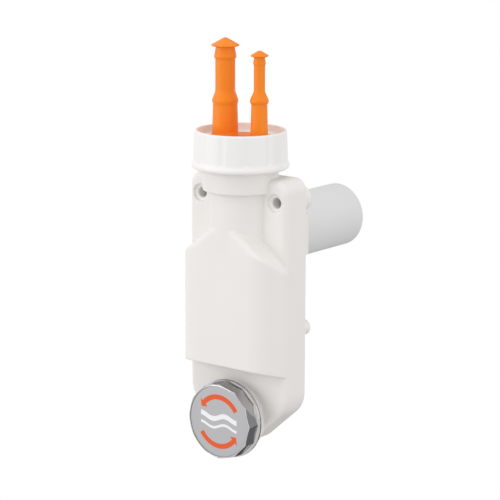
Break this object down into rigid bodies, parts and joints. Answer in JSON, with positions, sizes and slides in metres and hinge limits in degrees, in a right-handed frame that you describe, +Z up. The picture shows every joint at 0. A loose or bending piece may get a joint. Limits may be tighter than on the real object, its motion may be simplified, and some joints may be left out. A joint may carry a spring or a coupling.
{
  "type": "slim wall trap with a double hose connector",
  "caption": "Slim white wall trap with a ring nut, an orange connector with two closed stepped hose tails, a straight rear outlet pipe and a chromed clean-out cap at the foot.",
  "frame": {"origin": "on the axis of the outlet pipe, in the plane of the rear feet and of the socket's mouth", "axes": "+X to the right seen from the front, +Y back along the outlet pipe, +Z up along the neck"},
  "size_m": [0.0746, 0.1318, 0.2591],
  "materials": {
    "body_white": "satin white moulding",
    "nut_white": "satin white moulding",
    "pipe_white": "matt cool white",
    "connector_orange": "satin orange moulding",
    "seal_rubber": "matt black",
    "cap_chrome": "bright chrome",
    "disc_satin": "satin grey"
  },
  "bodies": {
    "body": {"trap_body": "body_white", "back_cover": "body_white", "partition": "body_white", "outlet_seal": "seal_rubber", "neck_gasket": "seal_rubber", "hose_connector": "connector_orange"},
    "nut_rise": {"slip_ring": "pipe_white"},
    "nut": {"ring_nut": "nut_white"},
    "cap_advance": {"cleanout_gasket": "seal_rubber"},
    "cap": {"cleanout_cap": "cap_chrome", "cap_disc": "disc_satin"},
    "pipe": {"outlet_pipe": "pipe_white"}
  },
  "joints": [
    {"name": "nut_rise_slide", "type": "slide", "parent": "body", "child": "nut_rise", "axis": [0, 0, 1], "range_m": [0, 0.01039]},
    {"name": "nut_turn", "type": "hinge", "parent": "nut_rise", "child": "nut", "pos_m": [0, -0.023, 0.055], "axis": [0, 0, 1], "range_deg": [0, 1620]},
    {"name": "cap_advance_slide", "type": "slide", "parent": "body", "child": "cap_advance", "axis": [0, -1, 0], "range_m": [0, 0.00694]},
    {"name": "cap_turn", "type": "hinge", "parent": "cap_advance", "child": "cap", "pos_m": [0, -0.038, -0.1115], "axis": [0, -1, 0], "range_deg": [0, 1080]},
    {"name": "pipe_slide", "type": "slide", "parent": "body", "child": "pipe", "axis": [0, 1, 0], "range_m": [0, 0.016]}
  ],
  "couplings": [
    {"joint": "nut_rise_slide", "follows": "nut_turn", "m_per_rad": 0.00036749},
    {"joint": "cap_advance_slide", "follows": "cap_turn", "m_per_rad": 0.00036749}
  ]
}
